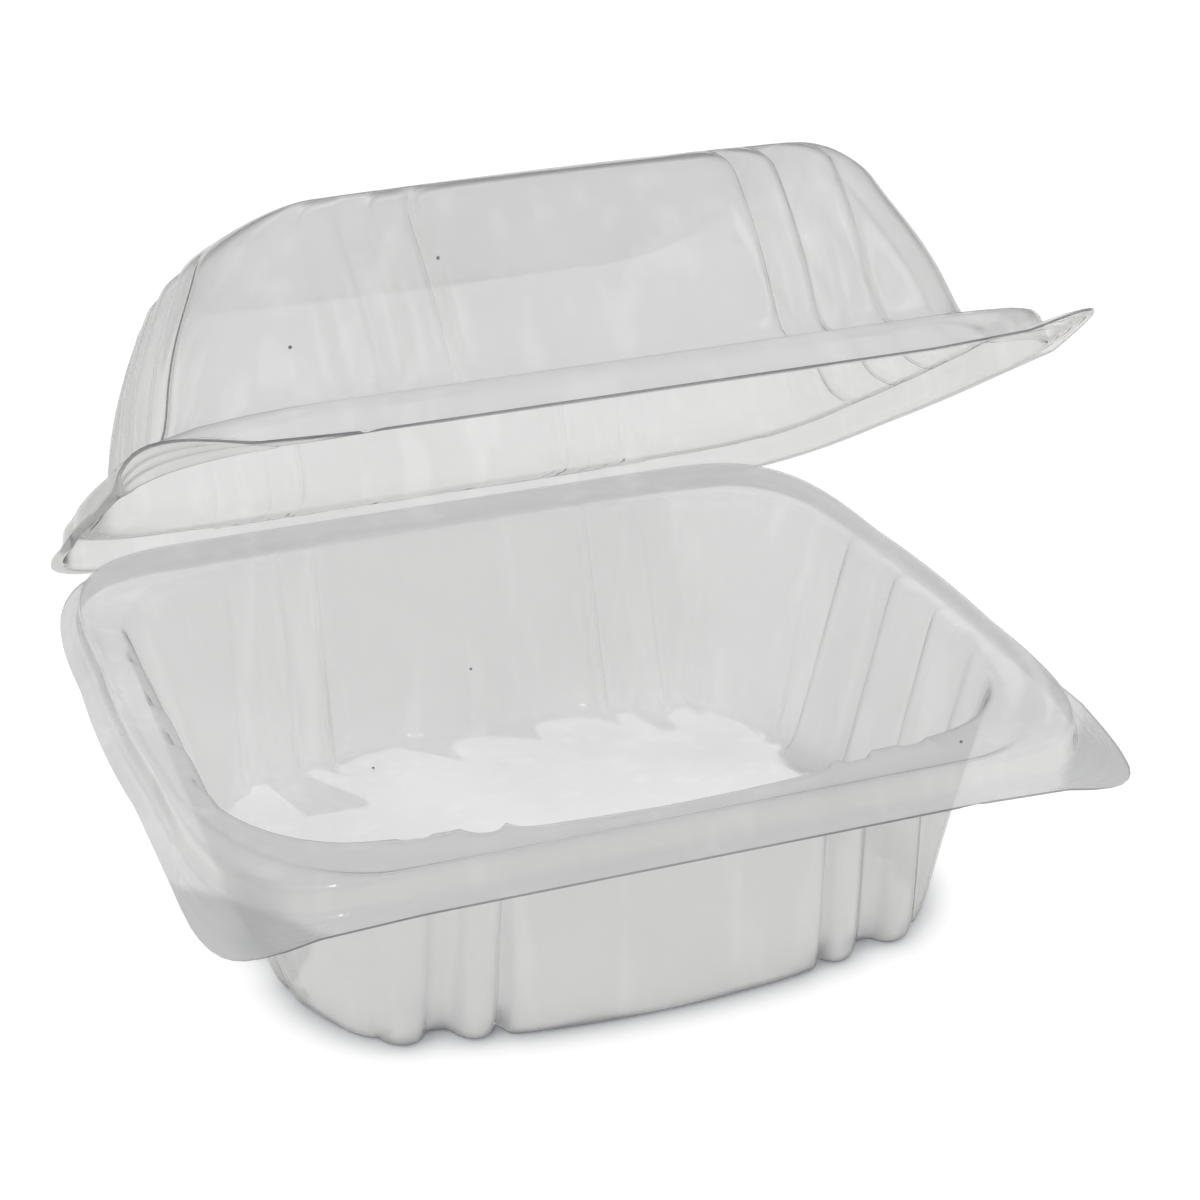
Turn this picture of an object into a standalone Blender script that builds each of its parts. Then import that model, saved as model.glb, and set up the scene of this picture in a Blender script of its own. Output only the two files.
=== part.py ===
"""Clear hinged food pack, thermoformed from one thin sheet: a fluted tray and a fluted domed lid.

The tray stands on its floor with the fold line along X at the back. Both halves share one rim: a flat
flange with a cut edge, a snap bead and a ledge. The lid's object has its origin on the fold line, so
turning it about X opens and shuts the pack. Sizes are in millimetres here and become metres in the mesh.
"""

import math
from typing import NamedTuple

import bmesh
import bpy

MM = 0.001

# Overall sizes over the flange, with the pack shut
PACK_WIDTH = 152.0
PACK_DEPTH = 146.0
PACK_HEIGHT = 76.0
FLANGE_HEIGHT = 36.0
SHEET = 0.35
LID_OPEN_DEG = 27.2

# Clearances between the two halves when shut
FACE_CLEARANCE = 0.3
BEAD_CLEARANCE = 0.4
FOLD_HALF_GAP = 0.15

# Rim: widths from the cut edge inwards, heights over the flange
FLANGE_WIDTH = 3.0
BEAD_OUTER_SLOPE = 0.6
BEAD_CREST = 1.0
BEAD_INNER_SLOPE = 1.2
BEAD_HEIGHT = 5.2
LEDGE_HEIGHT = 4.0
SIDE_BOW = 0.9
BACK_OVERRUN = 6.0

# Squareness of the rim's corners: 2 is an ellipse, more is squarer
CUT_FRONT, CUT_BACK = 7.0, 2.85
BEAD_FRONT, BEAD_BACK = 3.2, 3.3
INNER_FRONT, INNER_BACK = 1.95, 3.0

# Front corner tabs, bent away from each other, with grip ridges
TAB_BEND = 3.2
TAB_LENGTH = 11.7
TAB_NORMAL = (0.814, 0.581)
TAB_START = 88.0
GRIP_RIDGES = 3
GRIP_HEIGHT = 0.5

# Flutes on the front and back walls, from the middle outwards
PANEL_HALF = 24.5
NOTCH_WIDTH = 2.6
RIB_WIDTH = 5.2
RIB_FLANK = 1.3
ARCH_WIDTH = 5.4
WALL_RUN_X = 44.6
BACK_RECESS_HALF = 9.7
BACK_RECESS_SHARE = 0.65

# Flutes on the side walls, from the middle outwards
SIDE_RIB_CENTRE = 7.9
SIDE_RIB_WIDTH = 9.4
SIDE_PANEL_START = 21.5
SIDE_DEPTH_SHARE = 0.7
WALL_RUN_Y = 25.0

# Tray walls inside, without the flutes
TRAY_TOP_HALF = (65.2, 59.3)
TRAY_FOOT_HALF = (53.8, 51.5)
TRAY_FLUTE = (2.4, 4.4)
TRAY_TOP_RADIUS = 1.2
TRAY_FOOT_RADIUS = 2.2
TRAY_FOOT_SPREAD = 1.03
TRAY_BACK_CORNER = 2.5

# Lid walls inside, without the flutes
LID_FOOT_HALF = (63.8, 59.4)
LID_SHOULDER_HALF = (54.8, 53.0)
LID_WALL_BULGE = 1.7
LID_FLUTE = 3.2
LID_FOOT_HEIGHT = 7.4
LID_SHOULDER_HEIGHT = 32.5
LID_SHOULDER_WAVE = 1.6
LID_CORNER_DIP = 1.8
LID_FOOT_CORNER = 2.4
LID_SHOULDER_CORNER = 2.1
LID_CROWN_INSET = 9.0
LID_FOOT_SPREAD = 0.97
LID_FLUTE_SPREAD = 0.99
LID_CROWN_SPREAD = 0.84

# Corners: stations round them, and the notch between the side's corner panel and the corner
CORNER_DEGREES = (4, 11, 20, 29, 37, 45, 53, 61, 70, 79, 86)
CORNER_NOTCH_DEG = 11
CORNER_NOTCH_SHARE = 0.45


class Ring(NamedTuple):
    """A closed line round the shell, as its half sizes without flutes, corner shape and height."""

    half_width: float
    half_depth: float
    height: float
    square_front: float
    square_back: float
    drop: float = 0.0
    bow: float = 0.0
    flute: float = 0.0
    wave: float = 0.0
    spread: float = 1.0
    dip: float = 0.0


def blend(first, second, share):
    return Ring(*(a + (b - a) * share for a, b in zip(first, second)))


def rib(centre, width):
    """A rounded rib across a wall, as positions and shares of the flute's depth."""
    half = width / 2
    flank = RIB_FLANK / 2
    return [
        (centre - half - flank, 0.05),
        (centre - half + flank, 0.85),
        (centre, 1.0),
        (centre + half - flank, 0.85),
        (centre + half + flank, 0.05),
    ]


def front_stations(recessed):
    """Half of a front or back wall: panel, notch, rib, arch and rib; the back's panel has a recess."""
    inner = PANEL_HALF + NOTCH_WIDTH + RIB_WIDTH / 2
    outer = inner + RIB_WIDTH + ARCH_WIDTH
    panel = [(0.0, 1.25), (PANEL_HALF / 2, 1.2), (PANEL_HALF, 1.05)]
    if recessed:
        step = [(BACK_RECESS_HALF - RIB_FLANK / 2, BACK_RECESS_SHARE), (BACK_RECESS_HALF + RIB_FLANK / 2, 1.2)]
        panel = [(0.0, BACK_RECESS_SHARE)] + step + panel[2:]
    notch = [(PANEL_HALF + NOTCH_WIDTH / 3, 0.4)]
    arch = [((inner + outer) / 2, 0.0)]
    outer_rib = [(x, 0.8 * share) for x, share in rib(outer, RIB_WIDTH)]
    return panel + notch + rib(inner, RIB_WIDTH) + arch + outer_rib


def side_stations():
    """Half of a side wall: groove, rib, arch and the start of the corner panel."""
    outer_arch = (SIDE_RIB_CENTRE + SIDE_RIB_WIDTH / 2 + SIDE_PANEL_START) / 2
    panel = [(SIDE_PANEL_START, 0.05), (SIDE_PANEL_START + RIB_FLANK, 0.75)]
    return [(0.0, 0.0)] + rib(SIDE_RIB_CENTRE, SIDE_RIB_WIDTH) + [(outer_arch, 0.0)] + panel


FRONT = front_stations(recessed=False)
BACK = front_stations(recessed=True)
SIDE = side_stations()


def quarter_points(ring, square, wall):
    """The ring's quarter from the middle of the right wall to the middle of the back or front wall."""
    run_x = WALL_RUN_X * ring.spread
    run_y = WALL_RUN_Y * ring.spread
    points = []
    for y, share in SIDE:
        bowed = ring.half_width - ring.bow * (y / WALL_RUN_Y) ** 2
        height = ring.height + ring.wave * share
        points.append((bowed + SIDE_DEPTH_SHARE * ring.flute * share, y * ring.spread, height))
    side_x = points[-1][0]
    back_y = ring.half_depth - ring.drop
    for degrees in CORNER_DEGREES:
        u = math.cos(math.radians(degrees)) ** (2 / square)
        v = math.sin(math.radians(degrees)) ** (2 / square)
        height = ring.height - ring.dip * math.sin(math.radians(2 * degrees))
        notch = CORNER_NOTCH_SHARE * ring.flute if degrees == CORNER_NOTCH_DEG else 0.0
        points.append((run_x + (side_x - run_x) * u - notch, run_y + (back_y - run_y) * v, height))
    for x, share in reversed(wall):
        y = ring.half_depth - ring.drop * (x / WALL_RUN_X) ** 2 + ring.flute * share
        points.append((x * ring.spread, y, ring.height + ring.wave * share))
    return points


def ring_points(ring):
    """The ring's points anticlockwise, the same count for every ring."""
    back = quarter_points(ring, ring.square_back, BACK)
    front = quarter_points(ring, ring.square_front, FRONT)
    points = back[:-1]
    points += [(-x, y, z) for x, y, z in reversed(back)][:-1]
    points += [(-x, -y, z) for x, y, z in front][:-1]
    points += [(x, -y, z) for x, y, z in reversed(front)][:-1]
    return points


def rim_ring(inset, height, square_front, square_back):
    return Ring(
        PACK_WIDTH / 2 - inset,
        PACK_DEPTH / 2 - inset,
        height,
        square_front,
        square_back,
        bow=SIDE_BOW,
    )


def cut_edge(tab_bend):
    """The outermost ring: straight along the fold, with the front corner tabs bent by tab_bend."""
    ring = rim_ring(0.0, 0.0, CUT_FRONT, CUT_BACK)
    overrun = ring._replace(half_depth=ring.half_depth + BACK_OVERRUN)
    fold = PACK_DEPTH / 2 - FOLD_HALF_GAP
    points = []
    for (x, y, z), (far_x, far_y, _) in zip(ring_points(ring), ring_points(overrun)):
        if y > 0:
            points.append((far_x, min(far_y, fold), z))
            continue
        points.append((x, y, z + tab_bend * tab_share(x, y)))
    return points


def tab_share(x, y):
    """How far a point of the cut edge lies out on its front corner tab, from 0 to 1."""
    out = TAB_NORMAL[0] * abs(x) - TAB_NORMAL[1] * y - TAB_START
    return min(max(out / TAB_LENGTH, 0.0), 1.0)


def bead_rings(clearance, rise):
    """The flange's inner line, the snap bead and the ledge, widened by clearance and lifted by rise."""
    foot = FLANGE_WIDTH - clearance
    crest = foot + BEAD_OUTER_SLOPE
    crest_end = crest + BEAD_CREST + 2 * clearance
    ledge = crest_end + BEAD_INNER_SLOPE
    return [
        rim_ring(foot, rise, BEAD_FRONT, BEAD_BACK),
        rim_ring(crest, BEAD_HEIGHT + rise, BEAD_FRONT, BEAD_BACK),
        rim_ring(crest_end, BEAD_HEIGHT + rise, INNER_FRONT, INNER_BACK),
        rim_ring(ledge, LEDGE_HEIGHT + rise, INNER_FRONT, INNER_BACK),
    ]


def tray_rings():
    """Rings of the tray's upper face over the flange, and heights counted from it."""
    floor = SHEET - FLANGE_HEIGHT
    flute_top, flute_foot = TRAY_FLUTE
    edge = Ring(*TRAY_TOP_HALF, LEDGE_HEIGHT, 1.9, TRAY_BACK_CORNER, drop=4.2, flute=flute_top)
    foot = Ring(
        *TRAY_FOOT_HALF,
        floor + TRAY_FOOT_RADIUS,
        1.35,
        1.35,
        drop=4.5,
        flute=flute_foot,
        spread=TRAY_FOOT_SPREAD,
    )
    wall = blend(edge, foot, TRAY_TOP_RADIUS / (edge.height - foot.height))
    wall = wall._replace(half_width=wall.half_width - 0.4, half_depth=wall.half_depth - 0.4)
    base = foot._replace(
        half_width=foot.half_width - TRAY_FOOT_RADIUS * 0.8,
        half_depth=foot.half_depth - TRAY_FOOT_RADIUS * 0.8,
        height=floor,
    )
    middle = [blend(wall, foot, share) for share in (1 / 3, 2 / 3)]
    return bead_rings(0.0, 0.0) + [edge, wall] + middle + [foot, base]


def lid_rings():
    """Rings of the lid's under face, with heights over the tray's flange when shut."""
    crown = PACK_HEIGHT - FLANGE_HEIGHT - SHEET
    foot = Ring(
        *LID_FOOT_HALF,
        LID_FOOT_HEIGHT,
        LID_FOOT_CORNER,
        LID_FOOT_CORNER,
        drop=3.4,
        flute=LID_FLUTE,
        spread=LID_FOOT_SPREAD,
    )
    shoulder = Ring(
        *LID_SHOULDER_HALF,
        LID_SHOULDER_HEIGHT,
        LID_SHOULDER_CORNER,
        LID_SHOULDER_CORNER,
        drop=3.6,
        flute=LID_FLUTE,
        wave=LID_SHOULDER_WAVE,
        spread=LID_FLUTE_SPREAD,
        dip=LID_CORNER_DIP,
    )
    rings = bead_rings(BEAD_CLEARANCE, FACE_CLEARANCE) + [foot]
    for share in (1 / 3, 2 / 3):
        wall = blend(foot, shoulder, share)
        bulge = LID_WALL_BULGE * 4 * share * (1 - share)
        rings.append(
            wall._replace(half_width=wall.half_width + bulge, half_depth=wall.half_depth + bulge)
        )
    rings.append(shoulder)
    for degrees in (20, 45, 68, 90):
        out = 1 - math.cos(math.radians(degrees))
        up = math.sin(math.radians(degrees))
        rings.append(
            Ring(
                shoulder.half_width - LID_CROWN_INSET * out,
                shoulder.half_depth - LID_CROWN_INSET * out,
                shoulder.height + (crown - shoulder.height) * up,
                LID_SHOULDER_CORNER,
                LID_SHOULDER_CORNER,
                drop=shoulder.drop * (1 - 0.6 * out),
                flute=LID_FLUTE * max(0.0, 0.9 - 2.4 * out),
                wave=LID_SHOULDER_WAVE * max(0.0, 0.9 - 2.4 * out),
                spread=LID_FLUTE_SPREAD + (LID_CROWN_SPREAD - LID_FLUTE_SPREAD) * out,
                dip=LID_CORNER_DIP * (1 - out),
            )
        )
    return rings


def extrude_ring(bm, edges, points):
    """Extrudes a closed line of edges to the points of the next ring, matched by station."""
    station = bm.verts.layers.int["station"]
    made = bmesh.ops.extrude_edge_only(bm, edges=edges)["geom"]
    new = {v for v in made if isinstance(v, bmesh.types.BMVert)}
    for vert in new:
        vert.co = points[vert[station]]
    return [e for e in made if isinstance(e, bmesh.types.BMEdge) and set(e.verts) <= new]


def raise_grips(bm, cut, foot):
    """Divides the front corner tabs across and lifts every second line into a grip ridge."""
    station = bm.verts.layers.int["station"]
    shares = [tab_share(x, y) if y < 0 else 0.0 for x, y, _ in cut]
    across = [
        e
        for e in bm.edges
        if e.verts[0][station] == e.verts[1][station] and shares[e.verts[0][station]] > 0.25
    ]
    parts = 2 * GRIP_RIDGES + 1
    made = bmesh.ops.subdivide_edges(bm, edges=across, cuts=parts - 1)["geom_inner"]
    for vert in made:
        if not isinstance(vert, bmesh.types.BMVert):
            continue
        near = min(range(len(cut)), key=lambda i: line_gap(vert.co, cut[i], foot[i]))
        length = math.dist(cut[near], foot[near])
        line = round(parts * math.dist(vert.co, foot[near]) / length)
        if line % 2 == 0:
            vert.co.z += GRIP_HEIGHT * min(1.0, 2 * (shares[near] - 0.25))


def line_gap(point, start, end):
    """How much longer the way from start to end gets by passing through point."""
    return math.dist(point, start) + math.dist(point, end) - math.dist(start, end)


def shell_mesh(name, rings, tab_bend, rise):
    """A closed thin shell: rings extruded from the cut edge to the closed floor or crown."""
    bm = bmesh.new()
    station = bm.verts.layers.int.new("station")
    cut = [(x, y, z + rise) for x, y, z in cut_edge(tab_bend)]
    verts = []
    for index, point in enumerate(cut):
        vert = bm.verts.new(point)
        vert[station] = index
        verts.append(vert)
    edges = [bm.edges.new(pair) for pair in zip(verts, verts[1:] + verts[:1])]
    loops = [ring_points(ring) for ring in rings]
    edges = extrude_ring(bm, edges, loops[0])
    raise_grips(bm, cut, loops[0])
    for loop in loops[1:]:
        edges = extrude_ring(bm, edges, loop)
    bmesh.ops.contextual_create(bm, geom=edges)
    bmesh.ops.recalc_face_normals(bm, faces=bm.faces)
    bmesh.ops.scale(bm, vec=(MM, MM, MM), verts=bm.verts)
    mesh = bpy.data.meshes.new(name)
    bm.to_mesh(mesh)
    bm.free()
    return mesh


def plastic(name):
    material = bpy.data.materials.new(name)
    material.use_nodes = True
    shader = material.node_tree.nodes["Principled BSDF"]
    shader.inputs["Base Color"].default_value = (0.86, 0.88, 0.89, 1.0)
    shader.inputs["Roughness"].default_value = 0.08
    shader.inputs["Transmission Weight"].default_value = 0.9
    return material


def add_half(name, rings, tab_bend, rise, outward):
    """One half of the pack as an object, its sheet thickened away from the food."""
    mesh = shell_mesh(name, rings, tab_bend, rise)
    mesh.materials.append(plastic(name + "_plastic"))
    half = bpy.data.objects.new(name, mesh)
    bpy.context.scene.collection.objects.link(half)
    solid = half.modifiers.new("sheet", "SOLIDIFY")
    solid.thickness = SHEET * MM
    solid.offset = outward
    solid.solidify_mode = "NON_MANIFOLD"
    solid.nonmanifold_thickness_mode = "CONSTRAINTS"
    solid.nonmanifold_merge_threshold = 0.0
    return half


def main():
    for old in list(bpy.data.objects):
        bpy.data.objects.remove(old, do_unlink=True)
    tray = add_half("tray", tray_rings(), -TAB_BEND, 0.0, -1.0)
    tray.location = (0.0, 0.0, FLANGE_HEIGHT * MM)
    lid = add_half("lid", lid_rings(), TAB_BEND, FACE_CLEARANCE, 1.0)
    fold = (PACK_DEPTH / 2 * MM, FACE_CLEARANCE / 2 * MM)
    for vert in lid.data.vertices:
        vert.co.y -= fold[0]
        vert.co.z -= fold[1]
    lid.location = (0.0, fold[0], FLANGE_HEIGHT * MM + fold[1])
    lid.rotation_euler.x = -math.radians(LID_OPEN_DEG)


main()
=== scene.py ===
"""Clear hinged food pack standing open on a white table: sheets, fold, vent pips, table, light and camera.

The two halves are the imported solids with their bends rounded. Sizes are in metres, angles in degrees.
"""

import math

import bmesh
import bpy
from mathutils import Matrix, Vector
from mathutils.bvhtree import BVHTree

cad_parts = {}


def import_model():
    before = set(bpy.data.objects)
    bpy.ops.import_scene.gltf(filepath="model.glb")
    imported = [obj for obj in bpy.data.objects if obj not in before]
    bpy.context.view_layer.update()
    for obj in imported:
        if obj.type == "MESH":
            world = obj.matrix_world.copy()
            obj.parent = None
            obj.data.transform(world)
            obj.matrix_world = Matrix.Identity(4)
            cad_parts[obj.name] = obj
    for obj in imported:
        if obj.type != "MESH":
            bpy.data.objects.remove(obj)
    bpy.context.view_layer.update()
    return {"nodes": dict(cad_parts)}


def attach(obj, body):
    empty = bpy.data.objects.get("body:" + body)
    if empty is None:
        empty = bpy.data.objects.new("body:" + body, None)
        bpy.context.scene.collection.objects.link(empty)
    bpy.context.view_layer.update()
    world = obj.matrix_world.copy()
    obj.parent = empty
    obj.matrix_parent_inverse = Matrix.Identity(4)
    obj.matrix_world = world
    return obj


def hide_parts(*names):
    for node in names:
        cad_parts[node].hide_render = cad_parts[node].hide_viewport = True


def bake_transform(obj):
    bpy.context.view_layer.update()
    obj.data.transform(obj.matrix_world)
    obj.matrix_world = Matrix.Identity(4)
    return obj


MM = 0.001
WHITE = (1.0, 1.0, 1.0, 1.0)
BLACK = (0.0, 0.0, 0.0, 1.0)

# Photograph: square frame, lens, and the camera's place in mm and its turn
FRAME_PIXELS = 1200
LENS_PIXELS = 2845.8
SENSOR_MM = 36.0
CAMERA_PLACE = (-134.55, -416.67, 233.73)
CAMERA_TURN = (67.011, 1.738, -19.811)
CAMERA_REACH = 50.0

# Bends of the sheet: from which angle an edge counts as a bend, and how tight it stays when rounded
SOFT_BEND_DEG = 40.0
SOFT_CREASE = 0.1
HARD_BEND_DEG = 62.0
HARD_CREASE = 0.35
GRIP_BEND_DEG = 8.0
GRIP_CREASE = 0.8
ROUNDING_STEPS = 2

# Making of the shells: distance that welds points, and bends over which triangles are still joined
WELD_DISTANCE = 0.002 * MM
FLAT_JOIN_DEG = 12.0
TWISTED_JOIN_DEG = 30.0

# Cut edge round the outline: its bends, its widest short side, and the step that divides its long runs
CUT_EDGE_DEG = 55.0
CUT_EDGE_WIDTH = 0.45 * MM
RIM_STEP = 5.0 * MM

# Floor and crown: how alike the normals of their faces are, and the border that keeps them flat
CAP_FLATNESS = 0.9998
CAP_MARGIN = 1.5 * MM

# Fold along the back: its axis, and the lid's angle in the photograph
FOLD_Y = 73.0 * MM
FOLD_Z = 36.15 * MM
LID_OPEN_DEG = 27.2

# Web of the fold: half its length, thickness, radius, and its arc round the axis with the pack shut
WEB_HALF_WIDTH = 60.0 * MM
WEB_THICKNESS = 0.3 * MM
WEB_RADIUS = 0.36 * MM
WEB_START_DEG = 205.0
WEB_END_DEG = 85.0
WEB_STEPS = 8

# Front corner tabs: the way they point, as shares of X and of the reach from the fold, and their start
TAB_NORMAL = (0.814, 0.581)
TAB_START = 130.4 * MM
TAB_BLEND = 2.5 * MM

# Forming pips: radius, and the place of each one on its half in mm
PIP_RADIUS = 0.28 * MM
PIPS = {
    "tray": ((2.5, 55.8, 12.1), (-20.3, 45.5, 0.4), (46.9, -60.5, 40.0)),
    "lid": ((-47.8, -33.5, 109.1), (-24.6, -32.0, 119.0)),
}

# Greys of the clear sheet, with painted light and shade: face on, where it turns away, and on the tabs
# Lid's grey is lighter than the tray's, though both are one plastic: painted light on the lid
LID_PAINTED_LIGHT_GREY = (0.583, 0.585, 0.585, 1.0)
# Cut edge: near-black, painted shade for the dark line along the edge of the sheet
PAINTED_CUT_SHADE = (0.10, 0.105, 0.11, 1.0)
SHEET_GREYS_AND_PAINTED_LIGHT = {
    # Tray: its grey; a darker grey where it turns away, painted shade for the dark lines that refraction
    # gives; a darker grey on its tabs, painted shade
    "tray": ((0.498, 0.500, 0.500, 1.0), (0.30, 0.305, 0.31, 1.0), (0.37, 0.373, 0.376, 1.0)),
    # Lid: its lighter grey, painted light; near-black where it turns away, painted shade; its own grey on
    # the tabs
    "lid": (LID_PAINTED_LIGHT_GREY, (0.06, 0.06, 0.06, 1.0), LID_PAINTED_LIGHT_GREY),
}
PAINTED_CUT_SHADES = (PAINTED_CUT_SHADE, PAINTED_CUT_SHADE, PAINTED_CUT_SHADE)

# How much the sheet covers what is behind it, face on and turned away, and the turn between the two
SHEET_COVERS = (0.54, 0.85)
CUT_COVERS = (0.72, 0.95)
# The same turn brings in the painted shade of the grey where the sheet turns away
TURNED_AWAY = (0.68, 0.98)
SHEET_IOR = 1.57

# Clouds, draw lines and waves in the sheet: scale per metre and detail, and the part of them that shows
CLOUDS = (26.0, 1.0)
CLOUD_SPREAD = (0.35, 0.68)
DRAW_LINES = (150.0, 2.0)
DRAW_LINE_SPREAD = (0.50, 0.72)
DRAW_LINE_STRETCH = (1.0, 1.0, 0.10)
WAVES = (45.0, 0.0)

# What they change: cover under clouds, share of the lines in light and height, roughness and bump
CLOUD_COVER = (0.9, 1.12)
LINES_IN_LIGHT = 0.6
LINES_IN_HEIGHT = 0.25
MARK_LIGHT = 1.12
ROUGHNESS = (0.07, 0.16)
BUMP_STRENGTH = 0.15
BUMP_DISTANCE = 0.4 * MM

# Shadow: share of light that the walls and the foot hold back
WALL_SHADOW = 0.012
FOOT_SHADOW = 0.98

# Heights of the foot that holds light back: where it starts and ends, and the inner floor, which doesn't
FOOT_STARTS = (0.03 * MM, 0.08 * MM)
FOOT_ENDS = (6.5 * MM, 1.5 * MM)
INNER_FLOOR = (0.35 * MM, 0.03 * MM)

# Skin of the foot that holds light back: Z of its normal, and its place along Y, each from none to all
FACING_DOWN = (0.0, -0.1)
NEAR_SIDE = (40.0 * MM, -20.0 * MM)

# Room: how bright its white walls light the sheet, and how bright they look mirrored in it
ROOM_LIGHT = 0.93
ROOM_MIRRORED = 0.30

# Table: half its width, its colour, and its faint glow, of which the pack gets a part
TABLE_HALF_WIDTH = 6.0
TABLE_COLOUR = (0.97, 0.955, 0.93, 1.0)
TABLE_GLOW = (0.105, 0.12, 0.14, 1.0)
TABLE_GLOW_ON_PACK = 0.3

# Lamps: place, width and height in metres, and power in watts
LAMPS = {
    "key_lamp": ((-0.9, -0.9, 1.3), (1.1, 0.8), 2.8),
    "side_lamp": ((1.3, -0.3, 0.9), (0.3, 1.2), 1.6),
    "glint_lamp": ((-0.35, -1.0, 0.9), (0.10, 0.10), 1.2),
    "back_lamp": ((0.1, 1.4, 0.9), (1.4, 0.3), 1.2),
}
LAMP_AIM = (0.0, 0.0, 0.05)

# Sockets of a mix node: share, low, high and result
MIX_SOCKETS = {"FLOAT": (0, 2, 3, 0), "RGBA": (0, 6, 7, 2)}


def feed(tree, given, socket):
    """Links a socket to the given one, or sets it to the given value."""
    if isinstance(given, bpy.types.NodeSocket):
        tree.links.new(given, socket)
    else:
        socket.default_value = given


def node(tree, kind, place, *givens, **settings):
    """A shader node with its settings, and its first sockets fed in turn."""
    made = tree.nodes.new(kind)
    made.location = place
    for name, value in settings.items():
        setattr(made, name, value)
    for given, socket in zip(givens, made.inputs):
        feed(tree, given, socket)
    return made


def maths(tree, place, operation, *givens):
    return node(tree, "ShaderNodeMath", place, *givens, operation=operation).outputs[0]


def mix(tree, place, share, low, high, kind="FLOAT"):
    """Low to high by share, where each is a socket or a plain value."""
    made = node(tree, "ShaderNodeMix", place, data_type=kind)
    *sockets, result = MIX_SOCKETS[kind]
    for given, socket in zip((share, low, high), sockets):
        feed(tree, given, made.inputs[socket])
    return made.outputs[result]


def ramp(tree, place, value, start, end):
    """Spreads the part of value between start and end smoothly over 0 to 1."""
    made = node(tree, "ShaderNodeMapRange", place, value, interpolation_type="SMOOTHSTEP")
    made.inputs["From Min"].default_value = start
    made.inputs["From Max"].default_value = end
    return made.outputs["Result"]


def noise(tree, place, vector, scale, detail):
    made = node(tree, "ShaderNodeTexNoise", place, vector)
    made.inputs["Scale"].default_value = scale
    made.inputs["Detail"].default_value = detail
    return made.outputs["Fac"]


def forming_marks():
    """Group: clouds, draw lines and waves that forming leaves in a clear sheet, and a mask of its tabs."""
    tree = bpy.data.node_groups.new("forming_marks", "ShaderNodeTree")
    tree.interface.new_socket(name="Place", in_out="INPUT", socket_type="NodeSocketVector")
    for name in ("Cover", "Light", "Roughness", "Height", "Tab"):
        tree.interface.new_socket(name=name, in_out="OUTPUT", socket_type="NodeSocketFloat")
    place = node(tree, "NodeGroupInput", (-1200, 0)).outputs["Place"]
    clouds = noise(tree, (-900, 300), place, *CLOUDS)
    upright = node(tree, "ShaderNodeMapping", (-900, 0), place)
    upright.inputs["Scale"].default_value = DRAW_LINE_STRETCH
    draw_lines = noise(tree, (-700, 0), upright.outputs["Vector"], *DRAW_LINES)
    waves = noise(tree, (-900, -300), place, *WAVES)
    cloudy = ramp(tree, (-450, 300), clouds, *CLOUD_SPREAD)
    streak = ramp(tree, (-450, 0), draw_lines, *DRAW_LINE_SPREAD)
    light = mix(tree, (0, 0), LINES_IN_LIGHT, cloudy, streak)
    roughness = mix(tree, (0, -200), streak, *ROUGHNESS)
    height = mix(tree, (0, -400), LINES_IN_HEIGHT, waves, draw_lines)
    tab = tab_mask(tree, place)
    node(tree, "NodeGroupOutput", (600, 0), cloudy, light, roughness, height, tab)
    return tree


def tab_mask(tree, place):
    """1 on the front corner tabs of either half, 0 on the rest of it; it places the painted shade of the
    tray's tabs.
    """
    split = node(tree, "ShaderNodeSeparateXYZ", (-900, -1000), place)
    aside = maths(tree, (-700, -1000), "ABSOLUTE", split.outputs["X"])
    side_on = node(tree, "ShaderNodeVectorMath", (-900, -700), place, (0.0, 1.0, 1.0), operation="MULTIPLY")
    reach = node(tree, "ShaderNodeVectorMath", (-700, -700), side_on.outputs[0], operation="DISTANCE")
    reach.inputs[1].default_value = (0.0, FOLD_Y, FOLD_Z)
    forward = maths(tree, (-500, -700), "MULTIPLY", reach.outputs["Value"], TAB_NORMAL[1])
    outward = maths(tree, (-300, -800), "MULTIPLY_ADD", aside, TAB_NORMAL[0], forward)
    return ramp(tree, (-100, -800), outward, TAB_START, TAB_START + TAB_BLEND)


def clear_plastic(name, marks, greys, covers):
    """Clear sheet: a thin grey cover face on, denser where it turns away, and darker there by painted
    shade.
    """
    grey, painted_bend_shade, painted_tab_shade = greys
    cover, bend_cover = covers
    material = bpy.data.materials.new(name)
    material.use_nodes = True
    tree = material.node_tree
    shader = tree.nodes["Principled BSDF"]
    shader.inputs["IOR"].default_value = SHEET_IOR
    place = node(tree, "ShaderNodeTexCoord", (-1300, 0)).outputs["Object"]
    formed = node(tree, "ShaderNodeGroup", (-1050, 0), place, node_tree=marks).outputs
    facing = node(tree, "ShaderNodeLayerWeight", (-1050, 400)).outputs["Facing"]
    turned = ramp(tree, (-850, 400), facing, *TURNED_AWAY)
    marked = tuple(min(1.0, channel * MARK_LIGHT) for channel in grey)
    tint = mix(tree, (-800, 200), formed["Light"], grey, marked, "RGBA")
    # Painted shade: a darker grey on the tray's tabs, though they are the same sheet
    tint = mix(tree, (-600, 200), formed["Tab"], tint, painted_tab_shade, "RGBA")
    # Painted shade: the grey darkens where the sheet turns away from the camera
    tint = mix(tree, (-400, 200), turned, tint, painted_bend_shade, "RGBA")
    covered = mix(tree, (-600, 0), formed["Cover"], *(cover * part for part in CLOUD_COVER))
    covered = mix(tree, (-400, 0), turned, covered, bend_cover)
    bump = node(tree, "ShaderNodeBump", (-400, -400))
    bump.inputs["Strength"].default_value = BUMP_STRENGTH
    bump.inputs["Distance"].default_value = BUMP_DISTANCE
    feed(tree, formed["Height"], bump.inputs["Height"])
    feed(tree, tint, shader.inputs["Base Color"])
    feed(tree, covered, shader.inputs["Alpha"])
    feed(tree, formed["Roughness"], shader.inputs["Roughness"])
    feed(tree, bump.outputs["Normal"], shader.inputs["Normal"])
    pass_light(tree, shader, place)
    return material


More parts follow.
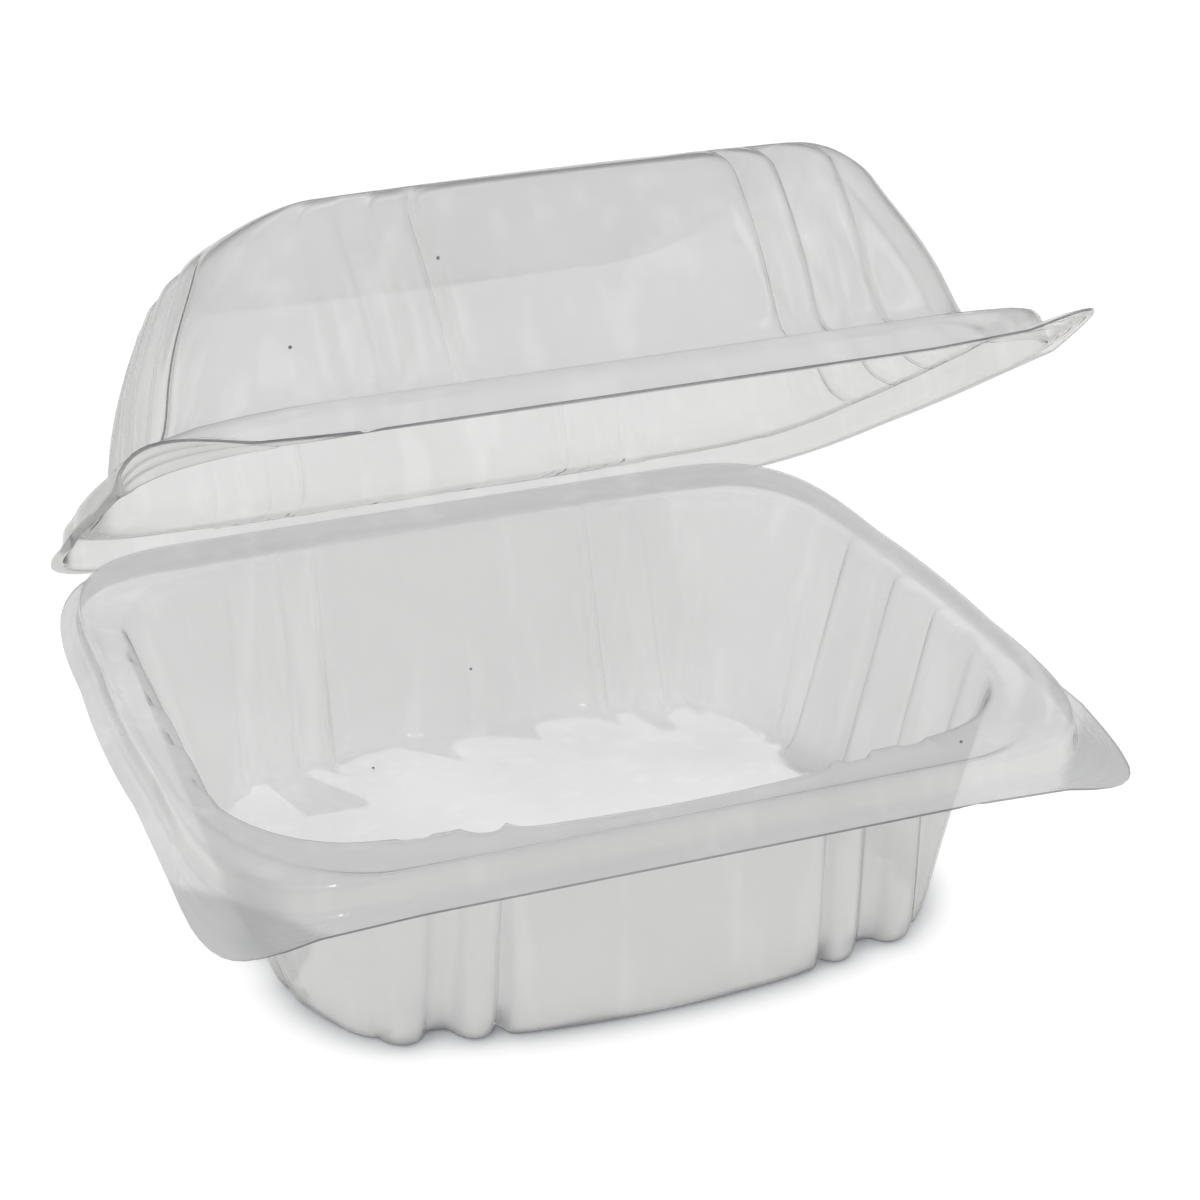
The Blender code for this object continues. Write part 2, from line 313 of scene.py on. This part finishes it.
def pass_light(tree, shader, place):
    """Lets lamp and bounced light through the sheet, and holds it back at the foot for a contact shadow."""
    path = node(tree, "ShaderNodeLightPath", (100, 500)).outputs
    unseen = maths(tree, (300, 500), "MAXIMUM", path["Is Shadow Ray"], path["Is Diffuse Ray"])
    held_back = mix(tree, (400, 700), foot_mask(tree, place), WALL_SHADOW, FOOT_SHADOW)
    passed = mix(tree, (600, 700), held_back, WHITE, BLACK, "RGBA")
    film = node(tree, "ShaderNodeBsdfTransparent", (300, 300), passed)
    surface = node(tree, "ShaderNodeMixShader", (500, 200), unseen, shader.outputs[0], film.outputs[0])
    feed(tree, surface.outputs[0], tree.nodes["Material Output"].inputs["Surface"])


def foot_mask(tree, place):
    """1 on the outer skin of the tray's foot on the near side, 0 on the rest of the pack."""
    split = node(tree, "ShaderNodeSeparateXYZ", (-400, 700), place)
    normal = node(tree, "ShaderNodeNewGeometry", (-600, 1100)).outputs["True Normal"]
    upward = node(tree, "ShaderNodeSeparateXYZ", (-400, 1100), normal).outputs["Z"]
    depth, height = split.outputs["Y"], split.outputs["Z"]
    inner_floor = maths(tree, (-200, 500), "COMPARE", height, *INNER_FLOOR)
    mask = maths(tree, (0, 500), "SUBTRACT", 1.0, inner_floor)
    limits = ((height, FOOT_STARTS), (height, FOOT_ENDS), (upward, FACING_DOWN), (depth, NEAR_SIDE))
    for row, (value, spread) in enumerate(limits):
        shown = ramp(tree, (-200, 700 + 200 * row), value, *spread)
        mask = maths(tree, (0, 700 + 200 * row), "MULTIPLY", mask, shown)
    return mask


def add_piece(name, bm, *materials):
    mesh = bpy.data.meshes.new(name)
    bm.to_mesh(mesh)
    bm.free()
    for material in materials:
        mesh.materials.append(material)
    piece = bpy.data.objects.new(name, mesh)
    bpy.context.scene.collection.objects.link(piece)
    return piece


def join_pairs(bm, faces, limit_deg):
    """Joins pairs of triangles that meet at less than the limit into four-sided faces."""
    bmesh.ops.join_triangles(
        bm,
        faces=faces,
        angle_face_threshold=math.radians(limit_deg),
        angle_shape_threshold=math.radians(180),
    )


def is_narrow(face):
    return min(e.calc_length() for e in face.edges) < CUT_EDGE_WIDTH


def shade_and_divide_rim(bm):
    """Gives the cut edge its own material, painted shade in a near-black grey, and divides its long runs so
    that its kinks stay tight.
    """
    for face in bm.faces:
        sharp = [e for e in face.edges if e.calc_face_angle(0.0) > math.radians(CUT_EDGE_DEG)]
        face.material_index = int(is_narrow(face) and len(sharp) >= 2)
    for face in [f for f in bm.faces if f.material_index and len(f.verts) == 4]:
        runs = sorted(face.edges, key=lambda e: e.calc_length())[2:]
        cuts = int(runs[0].calc_length() / RIM_STEP)
        if cuts:
            bmesh.ops.subdivide_edges(bm, edges=runs, cuts=cuts, use_grid_fill=True)
    bm.normal_update()


def flat_patch(face):
    """The face with all faces that lie flat beside it."""
    patch = {face}
    front = [face]
    while front:
        near = {g for f in front for e in f.edges for g in e.link_faces} - patch
        front = [g for g in near if g.normal.dot(face.normal) > CAP_FLATNESS]
        patch.update(front)
    return patch


def frame_caps(bm):
    """Sets both skins of the wide floor or crown in a narrow border, which keeps them flat."""
    widest = max(bm.faces, key=lambda f: f.calc_area())
    facing_away = [f for f in bm.faces if f.normal.dot(widest.normal) < -CAP_FLATNESS]
    for face in (widest, max(facing_away, key=lambda f: f.calc_area())):
        bmesh.ops.inset_region(bm, faces=list(flat_patch(face)), thickness=CAP_MARGIN, use_even_offset=True)


def on_tab(point):
    reach = math.hypot(point.y - FOLD_Y, point.z - FOLD_Z)
    return TAB_NORMAL[0] * abs(point.x) + TAB_NORMAL[1] * reach > TAB_START


def crease_bends(bm):
    """Marks how tight each bend stays when the sheet is rounded: the cut edge sharp, the rest softer."""
    crease = bm.edges.layers.float.new("crease_edge")
    for edge in bm.edges:
        angle = math.degrees(edge.calc_face_angle(0.0))
        if angle > CUT_EDGE_DEG and any(face.material_index for face in edge.link_faces):
            edge[crease] = 1.0
            edge.smooth = False
        elif angle > HARD_BEND_DEG:
            edge[crease] = HARD_CREASE
        elif angle > SOFT_BEND_DEG:
            edge[crease] = SOFT_CREASE
        elif angle > GRIP_BEND_DEG and all(on_tab(vert.co) for vert in edge.verts):
            edge[crease] = GRIP_CREASE


def rounded_sheet(frame, solid, name, body, clear, cut):
    """The solid's own shell with its bends rounded and its thin cut edge in a material of its own, painted
    shade in a near-black grey.
    """
    bm = bmesh.new()
    bm.from_mesh(frame["nodes"][solid].data)
    bmesh.ops.remove_doubles(bm, verts=bm.verts, dist=WELD_DISTANCE)
    join_pairs(bm, [f for f in bm.faces if is_narrow(f)], TWISTED_JOIN_DEG)
    join_pairs(bm, [f for f in bm.faces if len(f.verts) == 3], FLAT_JOIN_DEG)
    shade_and_divide_rim(bm)
    frame_caps(bm)
    crease_bends(bm)
    for face in bm.faces:
        face.smooth = True
    sheet = add_piece(name, bm, clear, cut)
    rounding = sheet.modifiers.new("rounding", "SUBSURF")
    rounding.levels = ROUNDING_STEPS
    rounding.render_levels = ROUNDING_STEPS
    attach(sheet, body)
    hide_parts(solid)


def pips(frame, solid, body, edge_shade):
    """The small pips that the forming tool's air holes leave on one half, drawn in the cut edge's
    near-black painted shade.
    """
    bm = bmesh.new()
    bm.from_mesh(frame["nodes"][solid].data)
    surface = BVHTree.FromBMesh(bm)
    bm.clear()
    for place in PIPS[solid]:
        spot = surface.find_nearest(Vector(place) * MM)[0]
        bmesh.ops.create_icosphere(bm, subdivisions=2, radius=PIP_RADIUS, matrix=Matrix.Translation(spot))
    for face in bm.faces:
        face.smooth = True
    piece = add_piece(solid + "_pips", bm, edge_shade)
    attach(piece, body)


def fold_web(clear):
    """Thin web of the living fold that joins the two flanges behind the bead."""
    bm = bmesh.new()
    start = math.radians(WEB_START_DEG)
    sweep = math.radians(WEB_END_DEG - LID_OPEN_DEG) - start
    turns = [start + sweep * step / WEB_STEPS for step in range(WEB_STEPS + 1)]
    outline = [(WEB_RADIUS, turn) for turn in turns]
    outline += [(WEB_RADIUS - WEB_THICKNESS, turn) for turn in reversed(turns)]
    verts = []
    for radius, turn in outline:
        y, z = FOLD_Y + radius * math.cos(turn), FOLD_Z + radius * math.sin(turn)
        verts.append(bm.verts.new((-WEB_HALF_WIDTH, y, z)))
    made = bmesh.ops.extrude_face_region(bm, geom=[bm.faces.new(verts)])["geom"]
    moved = [v for v in made if isinstance(v, bmesh.types.BMVert)]
    bmesh.ops.translate(bm, verts=moved, vec=(2 * WEB_HALF_WIDTH, 0.0, 0.0))
    bmesh.ops.recalc_face_normals(bm, faces=bm.faces)
    for face in bm.faces:
        face.smooth = len(face.verts) == 4
    return add_piece("fold_web", bm, clear)


def make_camera():
    data = bpy.data.cameras.new("camera")
    data.sensor_width = SENSOR_MM
    data.lens = LENS_PIXELS / FRAME_PIXELS * SENSOR_MM
    data.clip_end = CAMERA_REACH
    camera = bpy.data.objects.new("camera", data)
    camera.location = Vector(CAMERA_PLACE) * MM
    camera.rotation_euler = [math.radians(turn) for turn in CAMERA_TURN]
    bpy.context.scene.collection.objects.link(camera)
    bpy.context.scene.camera = camera


def make_lamp(name, place, size, power):
    data = bpy.data.lights.new(name, "AREA")
    data.shape = "RECTANGLE"
    data.size, data.size_y = size
    data.energy = power
    lamp = bpy.data.objects.new(name, data)
    lamp.location = place
    lamp.rotation_euler = (Vector(LAMP_AIM) - Vector(place)).to_track_quat("-Z", "Y").to_euler()
    bpy.context.scene.collection.objects.link(lamp)


def make_world():
    """White room, dimmer where the sheet mirrors it."""
    world = bpy.data.worlds.new("studio")
    world.use_nodes = True
    bpy.context.scene.world = world
    tree = world.node_tree
    background = tree.nodes["Background"]
    background.inputs["Color"].default_value = WHITE
    path = node(tree, "ShaderNodeLightPath", (-900, 0)).outputs
    mirrored = mix(tree, (-600, 0), path["Is Glossy Ray"], ROOM_LIGHT, ROOM_MIRRORED)
    shown = mix(tree, (-300, 0), path["Is Camera Ray"], mirrored, 1.0)
    feed(tree, shown, background.inputs["Strength"])


def make_table():
    """Matt white table that keeps the pack's soft shadow and meets the white room unseen."""
    bm = bmesh.new()
    bmesh.ops.create_grid(bm, x_segments=1, y_segments=1, size=TABLE_HALF_WIDTH)
    material = bpy.data.materials.new("white_table")
    material.use_nodes = True
    tree = material.node_tree
    shader = tree.nodes["Principled BSDF"]
    shader.inputs["Base Color"].default_value = TABLE_COLOUR
    shader.inputs["Roughness"].default_value = 1.0
    shader.inputs["Specular IOR Level"].default_value = 0.0
    shader.inputs["Emission Color"].default_value = TABLE_GLOW
    path = node(tree, "ShaderNodeLightPath", (-600, 0)).outputs
    glow = mix(tree, (-300, 0), path["Is Camera Ray"], TABLE_GLOW_ON_PACK, 1.0)
    feed(tree, glow, shader.inputs["Emission Strength"])
    add_piece("table", bm, material)


def set_light_paths(cycles):
    """Lets light pass many clear layers, and bounce little."""
    cycles.transparent_max_bounces = 32
    cycles.max_bounces = 3
    cycles.diffuse_bounces = 1
    cycles.glossy_bounces = 1
    cycles.caustics_reflective = False


def main():
    scene = bpy.context.scene
    scene.view_settings.view_transform = "Standard"
    set_light_paths(scene.cycles)
    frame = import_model()
    make_camera()
    marks = forming_marks()
    # Cut edge material: near-black painted shade, used on the pips too
    cut = clear_plastic("cut_edge_painted_shade", marks, PAINTED_CUT_SHADES, CUT_COVERS)
    clear = {}
    for solid, greys in SHEET_GREYS_AND_PAINTED_LIGHT.items():
        body, slot = solid + "_body", solid + "_plastic"
        clear[solid] = clear_plastic(solid + "_clear", marks, greys, SHEET_COVERS)
        rounded_sheet(frame, solid, solid + "_sheet", body, clear[solid], cut)
        # The pips are drawn in the cut edge's near-black painted shade
        pips(frame, solid, body, cut)
    web = fold_web(clear["lid"])
    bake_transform(web)
    make_table()
    make_world()
    for name, (place, size, power) in LAMPS.items():
        make_lamp(name, place, size, power)


main()
